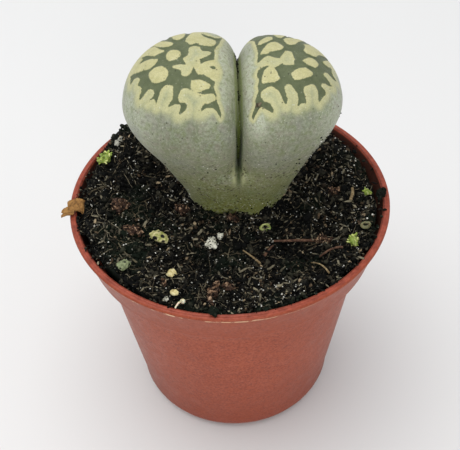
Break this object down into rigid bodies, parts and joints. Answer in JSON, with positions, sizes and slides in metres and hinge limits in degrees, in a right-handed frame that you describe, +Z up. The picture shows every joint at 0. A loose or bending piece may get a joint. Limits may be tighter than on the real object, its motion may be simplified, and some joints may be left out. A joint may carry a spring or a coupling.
{
  "type": "potted lithops",
  "caption": "Small succulent with one pair of thick, window-topped leaves, in dark mix in a round nursery pot.",
  "frame": {"origin": "middle of the pot's flat underside", "axes": "+Z up, -Y towards the side usually seen, +X to the right of it"},
  "size_m": [0.0564, 0.055, 0.0724],
  "materials": {
    "pot": "thin moulded terracotta-coloured plastic, satin, a little dusty",
    "soil": "dark peat mix with bark crumbs, matte",
    "leaf": "waxy grey-green skin, pale cream islands and dull olive windows on the tops",
    "bark": "small weathered bark chips, matte",
    "twig": "dry twig, matte",
    "straw": "dry pale plant scraps, matte",
    "perlite": "expanded mineral grains, chalky",
    "moss": "small moss tufts, matte",
    "husk": "spotted seed husks, matte",
    "pebble": "pale stone-like grains, matte"
  },
  "bodies": {
    "root": {"pot": "pot", "soil": "soil", "lithops": "leaf", "moss_tuft_left": "moss", "moss_tuft_right": "moss", "moss_tuft_back": "moss", "seed_husk": "husk", "perlite_grain": "perlite", "perlite_grain_small": "perlite", "yellow_grain": "straw", "white_grain": "perlite", "brown_grain": "bark", "grey_flake": "pebble", "pale_flake": "straw", "bark_chip_1": "bark", "bark_chip_2": "bark", "bark_chip_3": "bark", "bark_chip_4": "bark", "bark_chip_5": "bark", "bark_chip_6": "bark", "bark_chip_7": "bark", "bark_chip_8": "bark", "green_pebble": "pebble", "twig_long": "twig", "twig_short": "twig", "twig_thin": "straw", "needle": "straw", "twig_right": "twig", "straw_piece": "straw", "dark_fibre": "bark", "husk_ring_green": "husk", "husk_ring_tan": "straw", "sprout": "straw", "leaf_scrap": "straw", "lip_clod_right": "soil", "lip_clod_front": "soil"}
  },
  "joints": []
}
